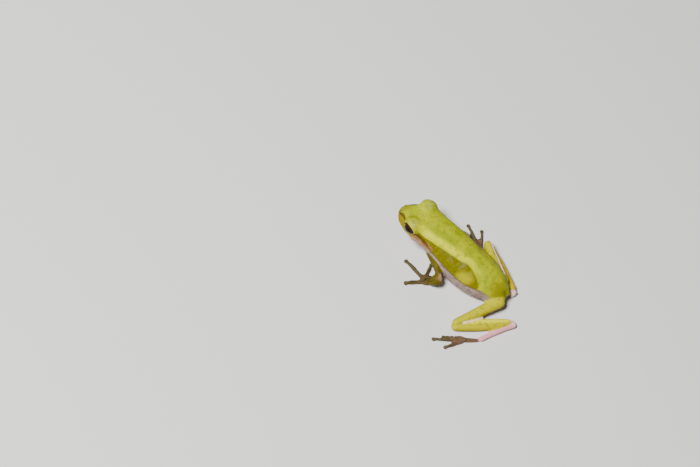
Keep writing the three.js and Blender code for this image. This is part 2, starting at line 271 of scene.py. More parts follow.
@dataclass
class Eye:
    """One eyeball and the gap between its lids, in mm."""

    side: Side
    radius: float = 1.512
    outward: float = 0.95
    ahead: float = 0.27
    raised: float = 0.02
    cornea_from: float = 0.62  # the cosine of the angle from the look at which the clear bulge begins
    cornea_rise: float = 0.035  # how far it stands out, as a share of the radius
    gap_length: float = 1.56  # half of it
    gap_above: float = 1.2
    gap_below: float = 1.25
    centre: Vector = field(init=False)
    look: Vector = field(init=False)

    def __post_init__(self) -> None:
        """Reads the eyeball's place off the frame: its pole is the vertex furthest out along its look."""
        self.look = Vector((self.side.value * self.outward, -self.ahead, self.raised)).normalized()
        places = vertex_places(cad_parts[self.node].data) / PER_MM
        pole = places[np.argmax(places @ np.array(self.look))]
        self.centre = Vector(pole) - self.look * self.radius

    @property
    def node(self) -> str:
        """The frame node that this eye stands for."""
        return "eye_" + self.side.name.lower()

    def build(self) -> bpy.types.Object:
        """Makes the eyeball, with a map of how far ahead and above its pole each place lies, in mm.

        Returns:
            The eyeball.
        """
        shape = bmesh.new()
        bmesh.ops.create_uvsphere(shape, u_segments=96, v_segments=64, radius=self.radius)
        turn = self.look.to_track_quat("Z", "Y").to_matrix().to_4x4()
        bmesh.ops.transform(shape, matrix=Matrix.Translation(self.centre) @ turn, verts=shape.verts)
        for vertex in shape.verts:
            out = vertex.co - self.centre
            rise = max(0.0, out.normalized().dot(self.look) - self.cornea_from) / (1 - self.cornea_from)
            vertex.co = self.centre + out * (1 + self.cornea_rise * rise)
        mesh = bpy.data.meshes.new(self.node)
        layer = shape.loops.layers.uv.new("iris")
        ahead, above, _ = self.seen(np.array([vertex.co for vertex in shape.verts]))
        shape.verts.index_update()
        for face in shape.faces:
            face.smooth = True
            for loop in face.loops:
                loop[layer].uv = (ahead[loop.vert.index], above[loop.vert.index])
        bmesh.ops.scale(shape, vec=(PER_MM,) * 3, verts=shape.verts)
        shape.to_mesh(mesh)
        shape.free()
        return made_object(f"eyeball_{self.side.name.lower()}", mesh)

    def seen(self, at: np.ndarray) -> tuple[np.ndarray, np.ndarray, np.ndarray]:
        """Where points lie as seen along the eye's look.

        Args:
            at: points, one row each.

        Returns:
            How far ahead and how far up each one is over the ball's curve from the pole, in mm, and how far
            from the centre.
        """
        above = (UPWARD - self.look * UPWARD.dot(self.look)).normalized()
        before = above.cross(self.look) * self.side.value
        out = at - np.array(self.centre)
        reach = np.linalg.norm(out, axis=1)
        out = out / reach[:, None]
        turn = np.arccos(np.clip(out @ np.array(self.look), -1, 1))
        arc = self.radius * turn / np.maximum(np.sin(turn), 1e-3)
        return arc * (out @ np.array(before)), arc * (out @ np.array(above)), reach

    def gap(self, at: np.ndarray) -> tuple[np.ndarray, np.ndarray]:
        """How far points lie inside the gap between the lids.

        Args:
            at: points, one row each.

        Returns:
            The distance inside the lids' edge in mm, less than 0 on the lids, and whether the point is near
            the eye at all.
        """
        before, above, reach = self.seen(at)
        high = np.where(above > 0, self.gap_above, self.gap_below)
        inside = (1 - np.hypot(before / self.gap_length, above / high)) * self.gap_above
        return inside, (reach < self.radius + 1.0) & (np.hypot(before, above) < 2.6)


@dataclass
class Paw:
    """A hand or a foot, in shares of the body's length ahead of the vent and to its left."""

    node: str
    palm: tuple[float, float]
    tips: list[tuple[float, float]]
    girth: float  # half a digit's width


FINGER = 0.0132
TOE = 0.0108
PAWS = [
    Paw(
        "hand_left", (0.578, 0.252),
        [(0.462, 0.165), (0.582, 0.104), (0.752, 0.212), (0.646, 0.373)], FINGER,
    ),
    Paw(
        "hand_right", (0.71, -0.172),
        [(0.68, -0.065), (0.78, -0.085), (0.86, -0.185), (0.77, -0.265)], FINGER,
    ),
    Paw(
        "foot_left", (0.075, 0.468),
        [(0.105, 0.47), (0.148, 0.508), (0.192, 0.54), (0.238, 0.6), (0.132, 0.6)], TOE,
    ),
    Paw(
        "foot_right", (0.385, -0.222),
        [(0.43, -0.165), (0.49, -0.21), (0.535, -0.265), (0.572, -0.339), (0.463, -0.372)], TOE,
    ),
]


@dataclass
class Limb:
    """One bone's length of a limb, in shares of the body's length ahead of the vent, to the left and up."""

    node: str
    start: tuple[float, float, float]
    end: tuple[float, float, float]
    begins: float  # how far along it the limb's own colour begins


LIMBS = [
    Limb("upper_arm_left", (0.66, 0.115, 0.18), (0.45, 0.235, 0.142), 0.0),
    Limb("upper_arm_right", (0.655, -0.1, 0.18), (0.478, -0.202, 0.097), 0.0),
    Limb("thigh_left", (0.005, 0.043, 0.1), (0.18, 0.44, 0.05), -0.2),
    Limb("thigh_right", (0.055, -0.04, 0.11), (0.366, -0.262, 0.084), -0.1),
    Limb("shank_left", (0.182, 0.443, 0.043), (-0.156, 0.108, 0.032), -9.0),
    Limb("shank_right", (0.362, -0.266, 0.062), (-0.032, -0.074, 0.032), -9.0),
]
# Pale patches over the heels and on the elbows, in the same shares, with their half widths in mm.
HEELS = [(-0.156, 0.108, 0.032), (-0.032, -0.074, 0.032)]
HEEL_WIDTH = 1.5
ELBOWS = [(0.435, 0.222, 0.15), (0.51, -0.205, 0.125)]
ELBOW_WIDTH = 1.1
# Where the pale belly begins: mm ahead of the vent, and mm above the floor.
BELLY_LINE = (
    [1.2, 2.6, 4.1, 6.0, 7.8, 9.8, 11.9, 14.1, 16.6, 18.4, 20.5],
    [2.2, 4.0, 4.7, 4.7, 4.6, 4.9, 5.3, 5.7, 6.05, 6.35, 6.6],
)
# Where the yellow flank begins below the crest: mm ahead of the vent, and mm from the spine.
CREST = (
    [5.4, 6.6, 7.8, 9.5, 11.3, 13.6, 15.4, 17.0, 19.8],
    [3.1, 2.5, 2.0, 1.8, 2.2, 2.55, 2.85, 3.1, 3.25],
)
# The fold between the right thigh and shank, seen from above: mm ahead of the vent and mm to the left of it.
FOLD = [(9.3, -7.1), (7.4, -5.86), (5.5, -4.5), (3.7, -3.2), (2.4, -2.3)]
# Lines on the side of the head: mm ahead of and above the middle between the eyes.
MOUTH = [(4.6, -1.5), (3.6, -1.72), (2.0, -1.95), (0.5, -2.1), (-1.2, -2.25), (-2.4, -2.6), (-2.9, -2.95)]
LIP_TOP = [
    (2.6, -1.9), (1.9, -1.7), (0.8, -1.74), (-0.3, -1.6),
    (-1.6, -1.2), (-3.1, -1.1), (-4.5, -1.5), (-6.5, -2.3),
]
MASK = [
    (4.0, -0.95), (2.9, -0.5), (1.9, -0.45), (1.2, -0.2), (0.0, 0.0),
    (-1.2, -0.05), (-2.3, -0.2), (-3.7, -0.4), (-5.6, -0.95),
]
# Half the mask's width in mm at shares of its length.
MASK_WIDTH = ([0, 0.12, 0.35, 0.5, 0.62, 0.8, 1.0], [0.12, 0.2, 0.26, 0.3, 0.34, 0.3, 0.08])
GOLD = [(3.5, -1.1), (2.4, -1.15), (1.5, -1.2), (0.6, -1.35)]
EAR_FOLD = [(-1.3, 0.35), (-2.2, 0.05), (-3.1, -0.1), (-3.7, -0.7), (-4.1, -1.6), (-4.4, -2.4)]
EARDRUM = (-2.62, -0.85)
NOSTRIL = (3.75, 0.75, -0.4)  # the second number to the side
# How far the skin runs smoothly on from one part to the next, in mm, and the rounds of evening out for that.
JOINS = {
    ("head", "trunk"): (2.0, 160),
    ("head", "lower_jaw"): (1.1, 160),
    ("lower_jaw", "trunk"): (1.2, 100),
    ("trunk", "upper_arm"): (1.0, 60),
    ("forearm", "upper_arm"): (0.6, 25),
    ("forearm", "hand"): (0.6, 20),
    ("thigh", "trunk"): (1.5, 110),
    ("shank", "thigh"): (0.5, 12),
    ("shank", "tarsus"): (0.5, 14),
    ("foot", "tarsus"): (0.6, 20),
}


@dataclass(frozen=True)
class Ridge:
    """A soft ridge under the skin along a path, a bump at one place, or a groove if its height is under 0."""

    path: list[tuple[float, ...]]
    height: float
    width: float  # half of it

    def lift(self, at: np.ndarray) -> np.ndarray:
        """How far the ridge lifts points that are given in its path's coordinates.

        Args:
            at: the points, one row each.

        Returns:
            The lift of each, in mm.
        """
        if len(self.path) == 1:
            gap = np.linalg.norm(at - np.array(self.path[0]), axis=1)
        else:
            gap, _ = along(at, self.path)
        return self.height * bell(gap, self.width)


# mm ahead of the vent and mm from the spine
BACK_RIDGES = [
    Ridge([(9.4, 1.7), (6.0, 1.4), (2.8, 1.0)], 0.10, 0.75),  # hip bone
    Ridge([(9.3, 1.8)], 0.16, 1.0),  # its front end
    Ridge([(8.0, 0.0), (2.4, 0.0)], 0.05, 0.5),  # tail bone
    Ridge([(17.0, 2.3)], 0.10, 1.1),  # shoulder blade
    Ridge([(18.5, 2.9), (14.0, 3.4), (9.5, 3.5), (6.5, 3.2)], 0.12, 0.7),  # edge of the back
]
# mm ahead of, beside and above the middle between the eyes
CANTHUS = Ridge([(1.2, 2.5, 0.4), (2.65, 1.55, -0.25), (3.6, 0.95, -0.5), (4.1, 0.6, -0.7)], 0.12, 0.42)
CHEEK_HOLLOW = Ridge([(1.9, 2.7, -0.85), (3.4, 1.6, -1.1)], -0.12, 0.45)
BROW = Ridge([(0.6, 2.1, 1.3), (2.0, 1.9, 0.45)], 0.14, 0.7)


@dataclass
class Skin:
    """The one skin over trunk, head, jaw, arms, legs, hands and feet. Sizes are in mm."""

    eyes: list[Eye]
    voxel: float = 0.1
    closing: float = 0.18  # over half the gap between two parts of the frame
    lid: float = 0.24  # thickness over the eyeball
    lid_depth: float = 0.62  # how far the skin sinks inside the lids' edges, to clear the eyeball
    most_faces: int = 190_000
    dimple: tuple[float, float, float] = (0.03, -0.045, 0.15)  # in the rump, beside the right thigh
    nodes: list[str] = field(init=False)
    middle: Vector = field(init=False)
    vent: Vector = field(init=False)
    nostrils: list[np.ndarray] = field(init=False, default_factory=list)
    numbers: list[int] = field(init=False, default_factory=list)  # each source point's part
    sources: KDTree = field(init=False)

    def __post_init__(self) -> None:
        """Reads the names of the fleshy nodes, and finds the vent from the eyes."""
        self.nodes = sorted(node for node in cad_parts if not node.startswith("eye_"))
        self.middle = sum((eye.centre for eye in self.eyes), Vector()) / len(self.eyes)
        self.vent = self.middle + LENGTH * Vector((-EYES_AT[1], EYES_AT[0], -EYES_AT[2]))

    def kinds(self) -> list[str]:
        """The nodes' names without left and right."""
        return [node.rsplit("_", 1)[0] if node.endswith(("left", "right")) else node for node in self.nodes]

    def place(self, forward: float, left: float, up: float = 0.0) -> Vector:
        """A place, from shares of the body's length ahead of the vent, to its left and above the floor."""
        return Vector((self.vent.x + LENGTH * left, self.vent.y - LENGTH * forward, LENGTH * up))

    def of_head(self, at: np.ndarray) -> tuple[np.ndarray, np.ndarray, np.ndarray]:
        """Where points lie along the head.

        Args:
            at: points, one row each.

        Returns:
            How far each is ahead of, to the left of and above the middle between the eyes.
        """
        out = at - np.array(self.middle)
        ahead = out @ np.array(FORWARD)
        return ahead, out[:, 0] - np.interp(ahead, *HEAD_BEND), out @ np.array(UPWARD)

    def of_back(self, at: np.ndarray) -> tuple[np.ndarray, np.ndarray]:
        """How far points are ahead of the vent and to the left of the spine."""
        ahead = self.vent.y - at[:, 1]
        return ahead, at[:, 0] - self.vent.x - np.interp(ahead, *BACK_BEND)

    def rounded(self, node: str) -> bpy.types.Mesh:
        """Copies a node of flat facets as a smooth mesh through the same corners.

        Args:
            node: the node's name.

        Returns:
            The smooth mesh, in mm.
        """
        sharp = 1.2  # the angle between two facets that stays an edge
        copied = bpy.data.meshes.new(node + "_smooth")
        shape = bmesh.new()
        shape.from_mesh(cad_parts[node].data)
        bmesh.ops.scale(shape, vec=(1 / PER_MM,) * 3, verts=shape.verts)
        bmesh.ops.remove_doubles(shape, verts=shape.verts, dist=0.002)
        bmesh.ops.join_triangles(
            shape, faces=shape.faces, angle_face_threshold=0.6, angle_shape_threshold=0.7
        )
        crease = shape.edges.layers.float.new("crease_edge")
        for edge in shape.edges:
            edge[crease] = 1.0 if edge.is_manifold and edge.calc_face_angle() > sharp else 0.0
        shape.to_mesh(copied)
        shape.free()
        made = made_object(copied.name, copied)
        finer = made.modifiers.new("rounding", "SUBSURF")
        finer.levels = finer.render_levels = 2
        # subdividing draws the corners in, so they are set further out until they come back to their places
        corners = vertex_places(copied)
        placed = corners.copy()
        for _ in range(3):
            bpy.context.view_layer.update()
            shown = made.evaluated_get(bpy.context.evaluated_depsgraph_get())
            reached = vertex_places(shown.data)[: len(corners)]
            placed += 0.9 * (corners - reached)
            copied.vertices.foreach_set("co", placed.astype(np.float32).ravel())
            copied.update()
        return settled(made)

    def gathered(self) -> Form:
        """Joins the rounded parts, closes the gaps between them and draws one even skin over all.

        Returns:
            The skin.
        """
        joined = bmesh.new()
        points = []
        for number, node in enumerate(self.nodes):
            mesh = self.rounded(node)
            form = Form(mesh)
            points.append(form.at[::3].copy())
            self.numbers += [number] * len(points[-1])
            form.push(self.closing)
            form.normals()
            joined.from_mesh(mesh)
            bpy.data.meshes.remove(mesh)
        for eye in self.eyes:
            bmesh.ops.create_icosphere(
                joined, subdivisions=4, radius=eye.radius + self.lid + self.closing,
                matrix=Matrix.Translation(eye.centre - eye.look * 0.1),
            )
        whole = bpy.data.meshes.new("gathered")
        joined.to_mesh(whole)
        joined.free()
        made = made_object("gathered", whole)
        draw = made.modifiers.new("one_skin", "REMESH")
        draw.mode = "VOXEL"
        draw.voxel_size = self.voxel
        draw.use_smooth_shade = True
        self.sources = tree_of(np.concatenate(points))
        form = Form(settled(made))
        form.relax(2, keep=0.9)
        form.push(-self.closing)
        return form

    def parts(self, form: Form) -> np.ndarray:
        """The number of the nearest part for each vertex of the skin."""
        return np.array([self.numbers[self.sources.find(point)[1]] for point in form.at])

    def join(self, form: Form) -> None:
        """Evens out the skin where one part runs on into the next.

        Args:
            form: the skin.
        """
        parts = self.parts(form)
        kinds = self.kinds()
        meet = parts[form.first] != parts[form.second]
        inner = form.first[meet]
        pairs = [sorted((kinds[a], kinds[b])) for a, b in zip(parts[inner], parts[form.second[meet]])]
        for (one, other), (reach, rounds) in JOINS.items():
            border = form.at[inner[[pair == [one, other] for pair in pairs]]]
            if not len(border):
                continue
            tree = tree_of(border)
            low, high = border.min(0) - reach, border.max(0) + reach
            near = np.flatnonzero(((form.at > low) & (form.at < high)).all(1))
            gap = np.full(len(form.at), np.inf)
            gap[near] = [tree.find(form.at[i])[2] for i in near]
            form.relax(rounds, share=1 - steps(0.4 * reach, reach, gap))

    def shape_back(self, form: Form) -> None:
        """Raises the ridges of hip bones, spine and shoulders under the skin of the back.

        Args:
            form: the skin.
        """
        ahead, left = self.of_back(form.at)
        up = steps(0.1, 0.6, form.normals()[:, 2]) * steps(2.5, 4.0, form.at[:, 2])
        up *= steps(19.5, 17.5, ahead)
        seen = np.column_stack([ahead, np.abs(left)])
        lift = sum(ridge.lift(seen) for ridge in BACK_RIDGES)
        lift += 0.035 * lumps(form.at, 2.6, 3) + 0.018 * lumps(form.at, 1.1, 5)
        form.push(lift * up)
        form.relax(4, share=up)
        gap = np.linalg.norm(form.at - np.array(self.place(*self.dimple)), axis=1)
        form.push(-0.55 * bell(gap, 1.3) * (self.parts(form) == self.nodes.index("trunk")))

    def shape_legs(self, form: Form) -> None:
        """Sinks the fold along which the right shank shows beside the thigh.

        Args:
            form: the skin.
        """
        plan = np.column_stack([self.vent.y - form.at[:, 1], form.at[:, 0] - self.vent.x])
        gap, where = along(plan, FOLD)
        upper = (form.at[:, 2] > 2.4) * (self.of_back(form.at)[1] < -1.6)
        form.push(-0.16 * bell(gap, 0.2) * upper * steps(1.0, 0.85, where))

    def shape_head(self, form: Form) -> None:
        """Draws the snout's edges, the mouth, the eardrums and the nostrils.

        Args:
            form: the skin.
        """
        ahead, left, above = self.of_head(form.at)
        places = np.column_stack([ahead, np.abs(left), above])
        outer = steps(0.15, 0.5, np.abs(form.normals()[:, 0]))
        self.shape_snout(form, places)
        self.shape_mouth(form, places, outer)
        places = np.column_stack(self.of_head(form.at))
        self.shape_ears(form, places)
        self.shape_nostrils(form, places)

    def shape_snout(self, form: Form, places: np.ndarray) -> None:
        """Raises the edge from eye to nostril and the brow, and evens out the corner of the jaw.

        Args:
            form: the skin.
            places: how far each vertex is ahead of, beside and above the middle between the eyes.
        """
        ahead, side, above = places.T
        _, where = along(places, CANTHUS.path)
        canthus = CANTHUS.lift(places) * steps(1.05, 0.8, where)
        form.push(canthus + CHEEK_HOLLOW.lift(places) + BROW.lift(places))
        form.relax(3, share=steps(2.0, 1.0, np.abs(ahead - 3.0)))
        hinge = np.hypot((ahead + 1.1) / 1.5, above + 2.05)
        form.relax(150, share=steps(1.15, 0.5, hinge) * steps(1.5, 2.5, side))

    def shape_mouth(self, form: Form, places: np.ndarray, outer: np.ndarray) -> None:
        """Draws the mouth as a groove between two soft lips, all round the snout.

        Args:
            form: the skin.
            places: how far each vertex is ahead of, beside and above the middle between the eyes.
            outer: how much the skin faces sideways there.
        """
        ahead, side, above = places.T
        gap, where = along(places[:, [0, 2]], MOUTH)
        high = above - height_on(MOUTH, ahead)
        fade = steps(1.0, 0.9, where) * np.maximum(outer, steps(3.3, 3.9, ahead))
        fade *= steps(1.5, 2.2, side + steps(3.2, 3.9, ahead) * 2)
        groove = -0.13 * bell(gap, 0.09)
        form.push(fade * (groove + 0.05 * bell(high - 0.25, 0.2) - 0.05 * bell(high + 0.3, 0.25)))

    def shape_ears(self, form: Form, places: np.ndarray) -> None:
        """Sinks each eardrum as a shallow dish in a raised ring, with a fold of skin over it.

        Args:
            form: the skin.
            places: how far each vertex is ahead of, left of and above the middle between the eyes.
        """
        ahead, left, above = places.T
        reach = np.hypot(ahead - EARDRUM[0], above - EARDRUM[1])
        drum = 0.06 * bell(reach - 0.66, 0.1) - 0.10 * steps(0.62, 0.5, reach) + 0.04 * bell(reach, 0.2)
        gap, where = along(places[:, [0, 2]], EAR_FOLD)
        fold = 0.10 * bell(gap, 0.17) * steps(1.0, 0.7, where)
        form.push(steps(2.6, 3.2, np.abs(left)) * (drum + fold))

    def shape_nostrils(self, form: Form, places: np.ndarray) -> None:
        """Sinks each nostril as a pit with a raised edge, and notes its place.

        Args:
            form: the skin.
            places: how far each vertex is ahead of, left of and above the middle between the eyes.
        """
        for side in Side:
            wanted = np.array(NOSTRIL) * (1, side.value, 1)
            spot = places[np.argmin(np.linalg.norm(places - wanted, axis=1))]
            gap = np.linalg.norm(places - spot, axis=1)
            self.nostrils.append(form.at[np.argmin(gap)].copy())
            form.push(0.05 * bell(gap - 0.3, 0.1) - 0.3 * steps(0.22, 0.08, gap))

    def open_eyes(self, form: Form) -> None:
        """Opens the lids over each eyeball and turns their edges in.

        Args:
            form: the skin.
        """
        for eye in self.eyes:
            before, above, reach = eye.seen(form.at)
            inner = steps(1.0, 2.6, above)
            socket = bell(np.hypot(before, above) - 2.8 - 0.3 * inner, 0.6 + 0.5 * inner)
            form.relax(160, share=socket * (reach < eye.radius + 1.6) * 0.9)
            # the lid lies flatter over the ball's top than the ball's own curve
            before, above, reach = eye.seen(form.at)
            top = steps(0.5, 1.0, form.normals()[:, 2]) * (reach < eye.radius + 0.8)
            form.at[:, 2] -= 0.18 * top * bell(np.hypot(before, above - 2.2), 1.3)
            # a bead along the lids' edge, a hollow under the lower lid and a fold in the upper
            before, above, reach = eye.seen(form.at)
            inside, near = eye.gap(form.at)
            low = steps(0.2, -0.6, above)
            bead = (0.06 - 0.03 * low) * bell(inside + 0.12, 0.12) - 0.10 * low * bell(inside + 0.45, 0.28)
            bead = bead - 0.07 * (1 - low) * bell(inside + 0.72, 0.11) * steps(1.6, 1.2, np.abs(before))
            sink = self.lid_depth * steps(-0.02, 0.16, inside)
            out = form.at - np.array(eye.centre)
            out = out / np.linalg.norm(out, axis=1)[:, None]
            form.at = form.at + out * (near * (bead - sink))[:, None]
            # the lids never dip into the ball
            reach = np.linalg.norm(form.at - np.array(eye.centre), axis=1)
            short = np.clip(eye.radius + 0.13 - reach, 0, 0.6) * steps(0.0, -0.1, inside)
            form.at = form.at + out * (short * (before**2 + above**2 < 30))[:, None]

    def shape_paws(self, form: Form) -> None:
        """Widens the finger and toe tips into discs, marks the knuckles and thins the webs between the toes.

        Args:
            form: the skin.
        """
        parts = self.parts(form)
        for paw in PAWS:
            own = parts == self.nodes.index(paw.node)
            palm = np.array(self.place(*paw.palm))[:2]
            far = np.linalg.norm(form.at[:, :2] - palm, axis=1)
            form.relax(24, share=0.8 * own * steps(1.5, 0.8, far), keep=0.35)
            flat = form.at[:, :2].copy()
            tips = [np.array(self.place(*tip))[:2] for tip in paw.tips]
            nearest = np.min([along(flat, [palm, tip])[0] for tip in tips], axis=0)
            web = own * steps(paw.girth * LENGTH * 0.95, paw.girth * LENGTH * 1.5, nearest)
            form.at[:, 2] *= 1 - 0.55 * web * (far > 1.0)
            for tip in tips:
                length = np.linalg.norm(tip - palm)
                ahead = (tip - palm) / length
                aside = np.array([-ahead[1], ahead[0]])
                away = flat - tip
                across, reach = away @ aside, np.linalg.norm(away, axis=1)
                mine = own * (np.abs(across) < 0.6) * (far > 0.8)
                disc = own * bell(reach, 0.5)
                form.at[:, :2] += (0.3 * disc)[:, None] * away
                form.at[:, 2] *= 1 - 0.15 * disc
                slim = mine * bell(reach - 0.95, 0.3)
                knuckle = mine * (bell(reach - 0.3 * length, 0.22) + bell(reach - 0.56 * length, 0.25))
                form.at[:, :2] += ((0.10 * knuckle - 0.12 * slim) * across)[:, None] * aside
                form.at[:, 2] *= 1 + 0.07 * knuckle
                edge = own * bell(reach - 0.42, 0.06) * steps(0.2, 0.7, form.normals()[:, 2])
                form.push(-0.035 * edge)

    def thinned(self, form: Form) -> Form:
        """Leaves out vertices that plain stretches of skin don't need, but none of head, hands and feet.

        Args:
            form: the skin.

        Returns:
            The thinned skin.
        """
        form.normals()
        parts = self.parts(form)
        made = made_object("thinned", form.mesh)
        plain = made.vertex_groups.new(name="plain")
        names = ("trunk", "thigh", "shank", "tarsus", "upper_arm", "forearm")
        chosen = np.isin(parts, [k for k, node in enumerate(self.nodes) if node.startswith(names)])
        plain.add(np.flatnonzero(chosen).tolist(), 1.0, "REPLACE")
        fewer = made.modifiers.new("fewer", "DECIMATE")
        fewer.ratio = min(1.0, self.most_faces / (2 * len(form.mesh.polygons)))
        fewer.vertex_group = "plain"
        return Form(settled(made))

    def build(self) -> bpy.types.Object:
        """Makes the skin, with its markings as values on the mesh.

        Returns:
            The skin.
        """
        form = self.gathered()
        self.join(form)
        form.relax(3, keep=0.9)
        self.shape_back(form)
        self.shape_legs(form)
        self.shape_head(form)
        self.open_eyes(form)
        self.shape_paws(form)
        form.relax(1, keep=0.9)
        form.at[:, 2] = np.maximum(form.at[:, 2], 0.0)
        form = self.thinned(form)
        for name, values in Markings(self, form).all().items():
            layer = form.mesh.attributes.new(name, "FLOAT", "POINT")
            layer.data.foreach_set("value", values.astype(np.float32))
        form.at *= PER_MM
        form.normals()
        form.mesh.name = "skin"
        for face in form.mesh.polygons:
            face.use_smooth = True
        log.info("skin: %d vertices, %d faces", len(form.mesh.vertices), len(form.mesh.polygons))
        return made_object("skin", form.mesh)


@dataclass
class Markings:
    """Where each marking lies on the skin, as a value from 0 to 1 at every vertex. Sizes are in mm."""

    skin: Skin
    form: Form

    def __post_init__(self) -> None:
        """Measures every vertex in each way that the markings need."""
        self.at = self.form.at
        self.normals = self.form.normals()
        self.parts = self.skin.parts(self.form)
        self.ahead, self.left = self.skin.of_back(self.at)
        self.aside = self.at[:, 0] - self.skin.vent.x
        self.fore, left, self.over = self.skin.of_head(self.at)
        self.side = np.abs(left)
        root = np.ones(len(self.at))
        for bone in LIMBS:
            own = self.own(bone.node)
            start, end = (np.array(self.skin.place(*joint)) for joint in (bone.start, bone.end))
            share = (self.at[own] - start) @ (end - start) / ((end - start) @ (end - start))
            root[own] = steps(bone.begins, bone.begins + 0.25, share)
        self.limb = self.form.spread(self.region(6, "upper_arm", "forearm", "thigh", "shank") * root, 4)
        beyond = self.region(2, "hand", "foot", "tarsus", "forearm", "shank")
        self.body = self.form.spread(1 - beyond - self.limb, 2).clip(0, 1)
        self.head = steps(-4.2, -3.0, self.fore) * self.body
        self.gape = self.over - height_on(MOUTH, self.fore)

    def own(self, node: str) -> np.ndarray:
        """The numbers of the vertices nearest to that node."""
        return np.flatnonzero(self.parts == self.skin.nodes.index(node))

    def region(self, rounds: int, *names: str) -> np.ndarray:
        """How much each vertex belongs to some kinds of parts.

        Args:
            rounds: how soft the edge is.
            names: the parts' names without left and right.

        Returns:
            A value from 0 to 1 each.
        """
        chosen = [number for number, kind in enumerate(self.skin.kinds()) if kind in names]
        return self.form.spread(np.isin(self.parts, chosen).astype(float), rounds)

    def spots(self, joints: list[tuple[float, float, float]], width: float) -> np.ndarray:
        """Soft spots on the skin.

        Args:
            joints: their middles, in shares of the body's length.
            width: half their width.

        Returns:
            A value from 0 to 1 each.
        """
        middles = [np.array(self.skin.place(*joint)) for joint in joints]
        return bell(np.min([np.linalg.norm(self.at - middle, axis=1) for middle in middles], axis=0), width)

    def of_trunk(self) -> dict[str, np.ndarray]:
        """The belly, darkened partly with painted shade, and its fold with a line of painted shade; the
        flank, partly painted shade, with a painted highlight band above it and a painted highlight patch on
        it; the vent and the hip darkened with painted shade.

        Returns:
            A value from 0 to 1 at every vertex, by the marking's name.
        """
        high = self.at[:, 2] - np.interp(self.ahead, *BELLY_LINE)
        edge = np.interp(self.ahead, *CREST) + 1.2 * (self.left < 0)
        # painted shade: a dark line along the belly's edge, in the fold between flank and belly, where the
        # skin faces sideways or down
        fold = bell(high + 0.05, 0.3) * (1 - self.head) * steps(0.8, 0.4, self.normals[:, 2])
        # the flank's deeper yellow-olive is partly its own colour and partly painted shade, for the sides
        # that turn away from the light above
        flank = steps(-0.18, 0.22, np.abs(self.left) - edge) * steps(21.2, 19.8, self.ahead)
        flank *= steps(4.2, 6.2, self.ahead)
        # painted highlight: a paler band on the left side of the back just above the flank, standing in for
        # the light on that rounded edge; it vanishes on the right side
        crest_highlight = bell(self.left - edge + 0.8, 0.8)
        crest_highlight *= steps(22.5, 20.5, self.ahead) * steps(5.0, 9.0, self.ahead)
        belly = (1 - self.head) * steps(0.45, -0.45, high) + self.head * steps(0.08, -0.08, self.gape)
        marks = {
            "fold": fold * steps(1.5, 4.0, self.ahead),
            "flank": flank,
            # painted highlight: a paler patch on the rear of the flank
            "flank_highlight": bell(np.hypot((self.ahead - 8.4) / 1.8, self.at[:, 2] - 5.6), 1.1) * flank,
            "crest_highlight": crest_highlight,
            "belly": belly,
            "vent": bell(np.hypot(self.ahead - 0.8, self.aside - 0.95), 0.6) * (self.at[:, 2] > 2.0),
            # painted shade: the left hip beside the vent is darkened
            "hip": bell(np.hypot(self.ahead - 1.6, self.left - 1.6), 2.1) * (self.at[:, 2] > 2.0),
        }
        return {name: values * self.body for name, values in marks.items()}

    def of_face(self) -> dict[str, np.ndarray]:
        """The mask, cheek, gold patch, lip, mouth with a line of painted shade, eardrum, nostrils, snout,
        eyelids and their rims, partly painted reflection.

        Returns:
            A value from 0 to 1 at every vertex, by the marking's name.
        """
        fore, over, side = self.fore, self.over, self.side
        seen = np.column_stack([fore, over])
        outer = steps(0.6, 1.1, side + 0.4 * steps(2.5, 3.5, fore))
        gap, where = along(seen, MASK)
        mask = steps(2.0, 0.0, gap / np.interp(where, *MASK_WIDTH)) * outer * self.body
        cheek = steps(-1.6, -1.1, over) * steps(0.0, -0.3, over)
        cheek *= steps(-0.1, -0.9, fore) * steps(-7.0, -4.8, fore)
        high = over - height_on(LIP_TOP, fore)
        lip = steps(0.12, -0.12, high) * steps(-2.6, -1.0, high)
        lip *= steps(2.8, 1.6, fore) * steps(-6.5, -5.0, fore)
        from_mouth, where = along(seen, MOUTH)
        reach = np.hypot(fore - EARDRUM[0], over - EARDRUM[1])
        from_pit = np.min([np.linalg.norm(self.at - pit, axis=1) for pit in self.skin.nostrils], axis=0)
        rim = np.zeros(len(self.at))
        lids = np.zeros(len(self.at))
        for eye in self.skin.eyes:
            before, above, out = eye.seen(self.at)
            inside, near = eye.gap(self.at)
            # the pale rim on the upper lids' edge is partly the lid's own colour and partly a painted
            # reflection, the highlight along the eye's upper rim
            rim = np.maximum(rim, near * bell(inside - 0.02, 0.09) * steps(-0.5, 0.3, above))
            near = steps(eye.radius + 0.9, eye.radius + 0.5, out)
            lids = np.maximum(lids, near * bell(np.hypot(before, above - 2.3), 1.6))
        return {
            "mask": mask,
            "cheek": cheek * steps(2.2, 2.8, side) * self.body,
            "gold": bell(along(seen, GOLD)[0], 0.5) * outer * self.head,
            "lip": lip * outer * self.body * np.maximum(steps(-0.1, 0.05, self.gape), 1 - self.head),
            # painted shade: a dark line along the groove of the mouth
            "mouth": bell(from_mouth, 0.07) * self.head * steps(1.0, 0.85, where),
            "drum": steps(0.68, 0.5, reach) * steps(2.6, 3.2, side),
            "nostril": steps(0.24, 0.12, from_pit),
            "snout": steps(2.0, 3.8, fore) * self.head,
            "rim": rim,
            "lids": lids * self.head,
        }

